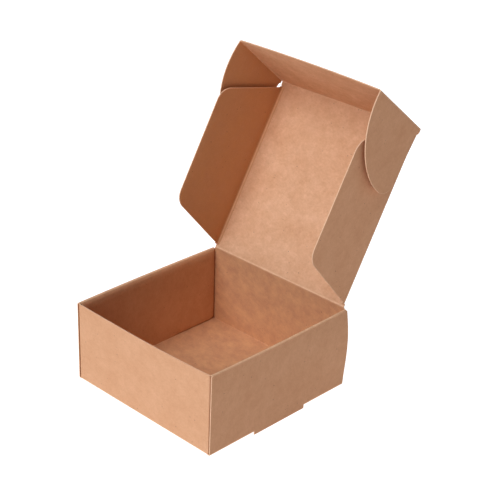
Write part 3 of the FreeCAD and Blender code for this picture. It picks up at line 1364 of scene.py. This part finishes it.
class DustFlap(Part):
    """A tapered dust flap with rounded corners."""

    SHEET_PLACE = Vector((0.4, 0.3, 0))
    SHEET_STEP = 0.1
    CORNER_STEPS = 8
    SHUT_SPRING = 0.12

    def build(self) -> bpy.types.Object:
        """Cuts the flap, and opens it with the lid.

        Returns:
            The flap's object.
        """
        sizes = self.sizes
        way = self.side.value
        rear, front = sizes.dust_rear, sizes.dust_front
        top, height = sizes.dust_crease, sizes.dust_height
        blank = Blank((front, top), (rear, height), sizes.card)
        blank.score(X_AXIS, spaced(front, rear, PANEL_STEP))
        blank.score(Y_AXIS, spaced(top, height, WALL_STEP))
        self._trim_end(blank, front, -1, sizes.dust_front_corner)
        self._trim_end(blank, rear, 1, sizes.dust_rear_corner)
        blank.thicken()
        blank.map_sheet(self.SHEET_PLACE + Y_AXIS * (self.SHEET_STEP * way))
        blank.shift(self._lean)
        origin = Vector((sizes.dust_fold_x + sizes.card.thickness, 0, sizes.lid_underside))
        blank.place(panel_matrix(origin, Y_AXIS, -Z_AXIS))
        blank.place(self.opening.lid @ self.side.flip)
        piece = blank.to_object(f"card_{self.side.word}_dust_flap", self.material)
        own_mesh(piece)
        return piece

    def _lean(self, flat: Vector, place: Vector) -> Vector:
        """How far the flap springs outwards, the more so towards its front.

        Args:
            flat: A place on the blank.
            place: The same place, before the flap is put in its place.

        Returns:
            The shift.
        """
        sizes = self.sizes
        share = (flat.x - sizes.dust_front) / (sizes.dust_rear - sizes.dust_front)
        lean = sizes.dust_lean_front + (sizes.dust_lean_rear - sizes.dust_lean_front) * share
        if self.side is Side.RIGHT:
            lean = sizes.right_dust_lean
        below = max(0.0, place.y - sizes.dust_crease - CREASE_LAP)
        return Vector((0, 0, -math.tan(math.radians(lean)) * below))

    def _trim_end(self, blank: Blank, root: float, way: int, radius: float) -> None:
        """Trims one slanted end and rounds its free corner.

        Args:
            blank: The flap's blank.
            root: The end's place at the fold.
            way: 1 at the rear, -1 at the front.
            radius: The corner's radius.
        """
        slope = math.radians(self.sizes.dust_taper)
        normal = Vector((way * math.cos(slope), math.sin(slope), 0))
        blank.trim(Vector((root, 0, 0)), normal, lambda at: True)
        y = self.sizes.dust_height - radius
        centre = Vector((root - way * (y * math.tan(slope) + radius / math.cos(slope)), y, 0))
        start = math.degrees(math.atan2(normal.y, normal.x))
        blank.trim_arc(
            centre, Vector((radius, radius, 0)), (start, 90), self.CORNER_STEPS,
            lambda at: (at.x - centre.x) * way > 0 and at.y > centre.y - radius,
        )


class FrontFlap(Part):
    """The front flap, between the lid's front fold and its own ears."""

    SHEET_PLACE = Vector((0.2, 0.42, 0))

    def build(self) -> bpy.types.Object:
        """Cuts the flap, and opens it with the lid.

        Returns:
            The flap's object.
        """
        sizes = self.sizes
        half = sizes.ear_fold_x - sizes.ear_crease
        left = sizes.left_ear.cut_back - half
        right = half - sizes.right_ear.cut_back
        top = sizes.flap_crease
        foot = sizes.flap_fold.z - sizes.flap_lift
        blank = Blank((left, top), (right, foot), sizes.card)
        blank.score(X_AXIS, spaced(left, right, PANEL_STEP))
        blank.score(Y_AXIS, spaced(top, foot, WALL_STEP))
        blank.thicken()
        blank.map_sheet(self.SHEET_PLACE)
        origin = sizes.flap_fold - Y_AXIS * (sizes.card.thickness / 2)
        blank.place(panel_matrix(origin, X_AXIS, -Z_AXIS))
        blank.shift(lambda flat, place: sizes.front_warp(place))
        blank.place(self.opening.front_flap)
        return blank.to_object("card_front_flap", self.material)


class Ear(Part):
    """A quarter-round locking ear."""

    SHEET_PLACE = Vector((0.5, 0.5, 0))
    SHEET_STEP = 0.1
    CORNER_STEPS = 8
    HEEL_STEPS = 20
    SHUT_SPRING = 0.05

    def build(self) -> bpy.types.Object:
        """Cuts the ear, and opens it with the front flap.

        Returns:
            The ear's object.
        """
        sizes = self.sizes
        way = self.side.value
        spring = sizes.ear(self.side)
        fold = sizes.flap_fold
        origin = Vector((sizes.ear_fold_x + sizes.card.thickness / 2, fold.y, fold.z))
        blank = self._blank()
        blank.thicken()
        blank.map_sheet(self.SHEET_PLACE + Y_AXIS * (self.SHEET_STEP * way))
        blank.shift(lambda flat, place: Z_AXIS * (-sizes.ear_curl * (flat.x / sizes.ear_reach) ** 2))
        blank.place(panel_matrix(origin, Y_AXIS, -Z_AXIS))
        pivot = Matrix.Translation(Vector((sizes.ear_fold_x, fold.y, 0)))
        turn = Matrix.Rotation(-math.radians(spring.lean), 4, "Z")
        blank.place(self.side.flip @ pivot @ turn @ pivot.inverted())
        blank.shift(lambda flat, place: sizes.front_warp(place))
        opened = self.opening.front_flap
        blank.place(opened)
        piece = blank.to_object(f"card_{self.side.word}_ear", self.material)
        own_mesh(piece)
        return piece

    def _blank(self) -> Blank:
        """Cuts the flat ear, with its fold along the blank's y axis.

        Returns:
            The blank.
        """
        sizes = self.sizes
        top = sizes.flap_fold.z - sizes.ear_top
        foot = sizes.flap_fold.z - sizes.ear_foot
        start, reach = sizes.ear_crease + sizes.ear_gap, sizes.ear_reach
        neck = sizes.ear_root + sizes.ear_shoulder
        blank = Blank((start, sizes.flap_shoulder), (reach, foot), sizes.card)
        blank.score(X_AXIS, [neck] + spaced(start, reach, EAR_STEP))
        blank.score(Y_AXIS, [top] + spaced(top, foot, EAR_STEP))
        blank.cut_away(lambda at: at.x > neck and at.y < top)
        shoulder = Vector((sizes.ear_root, sizes.flap_shoulder, 0))
        slanted = Vector((top - sizes.flap_shoulder, -sizes.ear_shoulder, 0)).normalized()
        blank.trim(shoulder, slanted, lambda at: at.y < top)
        corner = Vector((sizes.ear_corner, sizes.ear_corner, 0))
        tip = Vector((reach - corner.x, top + corner.y, 0))
        blank.trim_arc(
            tip, corner, (0, -90), self.CORNER_STEPS, lambda at: at.x > tip.x and at.y < tip.y
        )
        heel = Vector((start, tip.y, 0))
        radii = Vector((reach - start, foot - tip.y, 0))
        blank.trim_arc(heel, radii, (0, 90), self.HEEL_STEPS, lambda at: at.y > heel.y)
        return blank


@dataclass(frozen=True)
class Crease:
    """A pressed crease, which joins two panels with a bend between them.

    Attributes:
        name: The piece's name.
        bodies: The bodies before and after the fold; not used.
        ends: Its two ends along the fold.
        reach: How far it reaches into each panel.
        angle: The fold's angle at rest, in degrees; positive closes towards the inner face.
        shut: Places it in the shut box; the fold is the blank's x axis, at the panels' outer faces.
        opened: Then opens it.
        card: The card stock.
        inner_rub_and_highlight: How pale the ridge is on the inner side, partly from handling and partly
            as painted highlight.
        bead: How far the pressed ridge stands into the corner.
        on_flap: Whether it takes the flaps' card, whose darker inner side is painted shade.
        near_lap: How far it overlaps the panel before the fold.
        warp: How far the card there stands out of true, in the shut box.
    """

    name: str
    bodies: tuple[str, str]
    ends: tuple[float, float]
    reach: float
    angle: float
    shut: Matrix
    opened: Matrix
    card: Card
    inner_rub_and_highlight: float
    bead: float = 0.0
    on_flap: bool = False
    near_lap: float = CREASE_LAP
    warp: Callable[[Vector], Vector] | None = None

    SHEET_PLACE = Vector((0.2, 0.5, 0))
    INNER_RADIUS = 0.1 * MM
    THINNING = 0.01 * MM
    BEAD_SHARE = 0.85
    CREST_SHARE = 0.8
    STEPS = 6

    def build(self, material: bpy.types.Material) -> bpy.types.Object:
        """Cuts the crease, folds it and places it at rest between its two panels.

        Args:
            material: The card.

        Returns:
            The crease's object.
        """
        stock = Card(self.card.thickness - 2 * self.THINNING, self.INNER_RADIUS + self.THINNING)
        turn = math.radians(self.angle)
        length = stock.bend_length(turn)
        corner = (stock.fold_radius + stock.thickness / 2) * math.tan(abs(turn) / 2) - length / 2
        near = corner - self.reach - self.near_lap
        far = length - corner + self.reach + CREASE_LAP
        first, last = self.ends[0] + 2 * self.THINNING, self.ends[1] - 2 * self.THINNING
        width = self.reach * self.BEAD_SHARE
        blank = Blank((first, near), (last, far), stock)
        lines = stock.bend_lines(-length / 2, turn, self.STEPS)
        blank.score(Y_AXIS, lines + both_ways([width, width * self.CREST_SHARE]) + [0])
        blank.score(X_AXIS, spaced(first, last, PANEL_STEP))
        blank.thicken(soft_edges=False)
        blank.map_sheet(self.SHEET_PLACE)
        blank.fold(Fold(Y_AXIS, -length / 2, turn, lambda at: True))
        # Pales the crease's ridge: partly handling marks, partly painted highlight.
        blank.rub_and_highlight(width, self.inner_rub_and_highlight)
        inward = Vector((0, -math.sin(turn / 2), math.cos(turn / 2)))
        blank.shift(
            lambda flat, place: inward * (self.bead * max(0.0, 1 - abs(flat.y) / width))
            if flat.z > stock.thickness / 2 else None
        )
        blank.place(self.shut @ Matrix.Translation(Vector((0, -corner, self.THINNING))))
        if self.warp is not None:
            blank.shift(lambda flat, place: self.warp(place))
        blank.place(self.opened)
        piece = blank.to_object(self.name, material)
        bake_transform(piece)
        LOG.info("%s: %d faces", piece.name, len(piece.data.polygons))
        return piece


@dataclass(frozen=True)
class CreasePlan:
    """Lists the creases that join moving panels.

    Attributes:
        sizes: The carton's sizes.
        opening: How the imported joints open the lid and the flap.
    """

    sizes: CartonSizes
    opening: Opening

    def list_all(self) -> list[Crease]:
        """Every crease, the lid's own first."""
        return self._along_lid() + [crease for side in Side for crease in self._beside(side)]

    def _along_lid(self) -> list[Crease]:
        """Lists the creases along the lid's hinge and along its front fold.

        Returns:
            The creases.
        """
        sizes, opening = self.sizes, self.opening
        fold, half_card = sizes.flap_fold, sizes.card.thickness / 2
        hinge_turn = QUARTER_TURN + opening.shut_at("lid_hinge")
        flap_turn = QUARTER_TURN + opening.shut_at("front_flap_fold")
        hinge_at = panel_matrix(sizes.hinge + Y_AXIS * half_card, X_AXIS, Z_AXIS)
        flap_at = panel_matrix(fold + Z_AXIS * half_card, X_AXIS, -Y_AXIS)
        rear, front = sizes.lid_rear_half, sizes.lid_front_half
        return [
            Crease(
                "crease_lid", ("tray", "lid"), (-rear, rear), sizes.hinge_crease, hinge_turn,
                hinge_at, Matrix.Identity(4), sizes.card, inner_rub_and_highlight=0.3,
            ),
            Crease(
                "crease_front_flap", ("lid", "front_flap"), (-front, front), sizes.flap_crease,
                flap_turn, flap_at, opening.lid, sizes.card, inner_rub_and_highlight=0.7, bead=0.08 * MM,
            ),
        ]

    def _beside(self, side: Side) -> list[Crease]:
        """Lists the creases of one dust flap and one ear.

        Args:
            side: The side.

        Returns:
            The creases.
        """
        sizes, opening = self.sizes, self.opening
        fold, half_card = sizes.flap_fold, sizes.card.thickness / 2
        spring = sizes.ear(side)
        dust, ear = f"{side.word}_dust_flap", f"{side.word}_ear"
        dust_ends = (sizes.dust_front, sizes.dust_rear)
        dust_corner = Vector((sizes.dust_fold_x + half_card, 0, fold.z + half_card))
        ear_ends = (sizes.ear_foot, fold.z - sizes.flap_shoulder)
        ear_corner = Vector((sizes.ear_fold_x, fold.y - half_card, 0))
        return [
            Crease(
                f"crease_{dust}", ("lid", dust), dust_ends, sizes.dust_crease, QUARTER_TURN,
                side.flip @ panel_matrix(dust_corner, Y_AXIS, X_AXIS), opening.lid, sizes.card,
                # The dust crease takes the flaps' card: painted shade on the strip beside the fold.
                inner_rub_and_highlight=0.6, bead=0.38 * MM, on_flap=True,
            ),
            Crease(
                f"crease_{ear}", ("front_flap", ear), ear_ends, sizes.ear_crease,
                QUARTER_TURN - spring.lean, side.flip @ panel_matrix(ear_corner, Z_AXIS, X_AXIS),
                opening.front_flap, sizes.card, inner_rub_and_highlight=0.2, bead=0.05 * MM,
                near_lap=CREASE_LAP + spring.cut_back, warp=sizes.front_warp,
            ),
        ]


@dataclass(frozen=True)
class SoftLight:
    """A wide soft light, far away.

    Attributes:
        name: The light's name.
        towards: Direction from the box to the light.
        level: How bright it makes a white sheet that faces it.
        spread: The angle that it fills, in degrees.
        colour: Its colour.
    """

    name: str
    towards: tuple[float, float, float]
    level: float
    spread: float
    colour: Colour = (0.97, 1.07, 1.36)

    def build(self) -> None:
        """Hangs the light."""
        light = bpy.data.lights.new(self.name, "SUN")
        light.energy = self.level * math.pi
        light.angle = math.radians(self.spread)
        light.color = self.colour
        lamp = bpy.data.objects.new(self.name, light)
        lamp.rotation_euler = Vector(self.towards).to_track_quat("Z", "Y").to_euler()
        bpy.context.scene.collection.objects.link(lamp)


@dataclass(frozen=True)
class Studio:
    """The pale floor, the soft lights and the camera."""

    floor_height: float
    azimuth: float = 43.79
    elevation: float = 26.31
    roll: float = 1.87
    lens: float = 100.39
    distance: float = 447.4 * MM
    target: tuple[float, float, float] = (16.71 * MM, 0, 56.62 * MM)
    floor_shade: float = 0.3
    floor_glow: float = 0.7
    floor_tint: Colour = (0.98, 1.0, 1.21)
    floor_white: float = 0.9
    floor_half: float = 3.0
    near_clip: float = 0.01
    lights: tuple[SoftLight, ...] = (
        SoftLight("key", (0, -1, 1), 0.52, 50),
        SoftLight("front_fill", (0, -1, 0.36), 0.06, 45),
        SoftLight("top_fill", (0, 0, 1), 0.2, 60),
    )

    def build(self) -> None:
        """Makes the floor, the lights and the camera."""
        self._floor()
        self._world()
        for light in self.lights:
            light.build()
        self._camera()

    def _floor(self) -> None:
        """A wide pale floor that glows a little, as a lit product table does."""
        bm = bmesh.new()
        bmesh.ops.create_grid(bm, x_segments=1, y_segments=1, size=self.floor_half)
        bmesh.ops.translate(bm, vec=(0, 0, self.floor_height), verts=bm.verts)
        mesh = bpy.data.meshes.new("floor")
        bm.to_mesh(mesh)
        bm.free()
        mesh.materials.append(self._floor_finish())
        floor = bpy.data.objects.new("floor", mesh)
        bpy.context.scene.collection.objects.link(floor)

    def _floor_finish(self) -> bpy.types.Material:
        """Makes a matt white that reads as plain paper and lights the box from below.

        Returns:
            The floor's material.
        """
        material = bpy.data.materials.new("pale_floor")
        material.use_nodes = True
        board = Wiring(material.node_tree)
        shader = material.node_tree.nodes["Principled BSDF"]
        shade = self.floor_shade
        shader.inputs["Base Color"].default_value = (shade, shade, shade, 1)
        shader.inputs["Roughness"].default_value = 1.0
        shader.inputs["Specular IOR Level"].default_value = 0.0
        seen = board.add("LightPath").outputs["Is Camera Ray"]
        board.feed(shader.inputs["Emission Color"], board.tint(seen, (*self.floor_tint, 1), (1, 1, 1, 1)))
        glow = board.remap(seen, 0.0, 1.0, self.floor_glow, self.floor_white)
        board.feed(shader.inputs["Emission Strength"], glow)
        return material

    def _world(self) -> None:
        """A white surround that adds no light of its own."""
        world = bpy.data.worlds.new("studio")
        world.use_nodes = True
        board = Wiring(world.node_tree)
        surround = world.node_tree.nodes["Background"].inputs
        board.feed(surround["Color"], (1, 1, 1, 1))
        board.feed(surround["Strength"], board.add("LightPath").outputs["Is Camera Ray"])
        scene = bpy.context.scene
        scene.world = world
        scene.view_settings.view_transform = "Standard"
        scene.view_settings.look = "Medium High Contrast"

    def _camera(self) -> None:
        """The camera, at the reference view's angle."""
        turn, rise, roll = (math.radians(a) for a in (self.azimuth, self.elevation, self.roll))
        back = Vector((math.sin(turn) * math.cos(rise), -math.cos(turn) * math.cos(rise), math.sin(rise)))
        right = Vector((math.cos(turn), math.sin(turn), 0))
        right = right * math.cos(roll) + back.cross(right) * math.sin(roll)
        up = back.cross(right)
        camera = bpy.data.objects.new("camera", bpy.data.cameras.new("camera"))
        camera.data.lens = self.lens
        camera.data.clip_start = self.near_clip
        place = Vector(self.target) + back * self.distance
        camera.matrix_world = panel_matrix(place, right, up)
        bpy.context.scene.collection.objects.link(camera)
        bpy.context.scene.camera = camera


def main() -> None:
    """Builds the carton, piece by piece, and its studio."""
    logging.basicConfig(level=logging.INFO, format="%(message)s")
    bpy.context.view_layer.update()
    effects = CardEffects()
    # The lid's card: its inner side is painted lighter, as painted light on the lid, the front flap and
    # their creases.
    lid_card_painted_light = CardFinish("kraft_lid_painted_light", inner_body_painted_light_and_shade=(0.84, 0.505, 0.275)).build(effects)
    # The flaps' card: its inner side is painted darker, as painted shade on the dust flaps, the ears and
    # the dust creases.
    flap_card_painted_shade = CardFinish("kraft_flap_painted_shade", inner_body_painted_light_and_shade=(0.66, 0.335, 0.14)).build(effects)
    # The tray's card: its inner side is painted darker, with heavier sizing patches that add to it, as
    # painted shade inside the tray.
    tray_card_painted_shade = CardFinish("kraft_tray_painted_shade", inner_body_painted_light_and_shade=(0.76, 0.415, 0.19), stain_share=0.65).build(effects)
    opening = Opening(frame["joints"], SIZES)
    Tray(SIZES, tray_card_painted_shade, opening).dress("tray", "tray")
    LidPanel(SIZES, lid_card_painted_light, opening).dress("lid", "lid_panel")
    FrontFlap(SIZES, lid_card_painted_light, opening).dress("front_flap", "front_flap")
    for side in Side:
        dust, ear = f"{side.word}_dust_flap", f"{side.word}_ear"
        DustFlap(SIZES, flap_card_painted_shade, opening, side).dress(dust, dust)
        Ear(SIZES, flap_card_painted_shade, opening, side).dress(ear, ear)
    for crease in CreasePlan(SIZES, opening).list_all():
        # Creases on the flaps take the card with painted shade; the others take the card with painted
        # light.
        crease.build(flap_card_painted_shade if crease.on_flap else lid_card_painted_light)
    Studio(-SIZES.strip_drop - FLOOR_GAP).build()


if __name__ == "__main__":
    main()
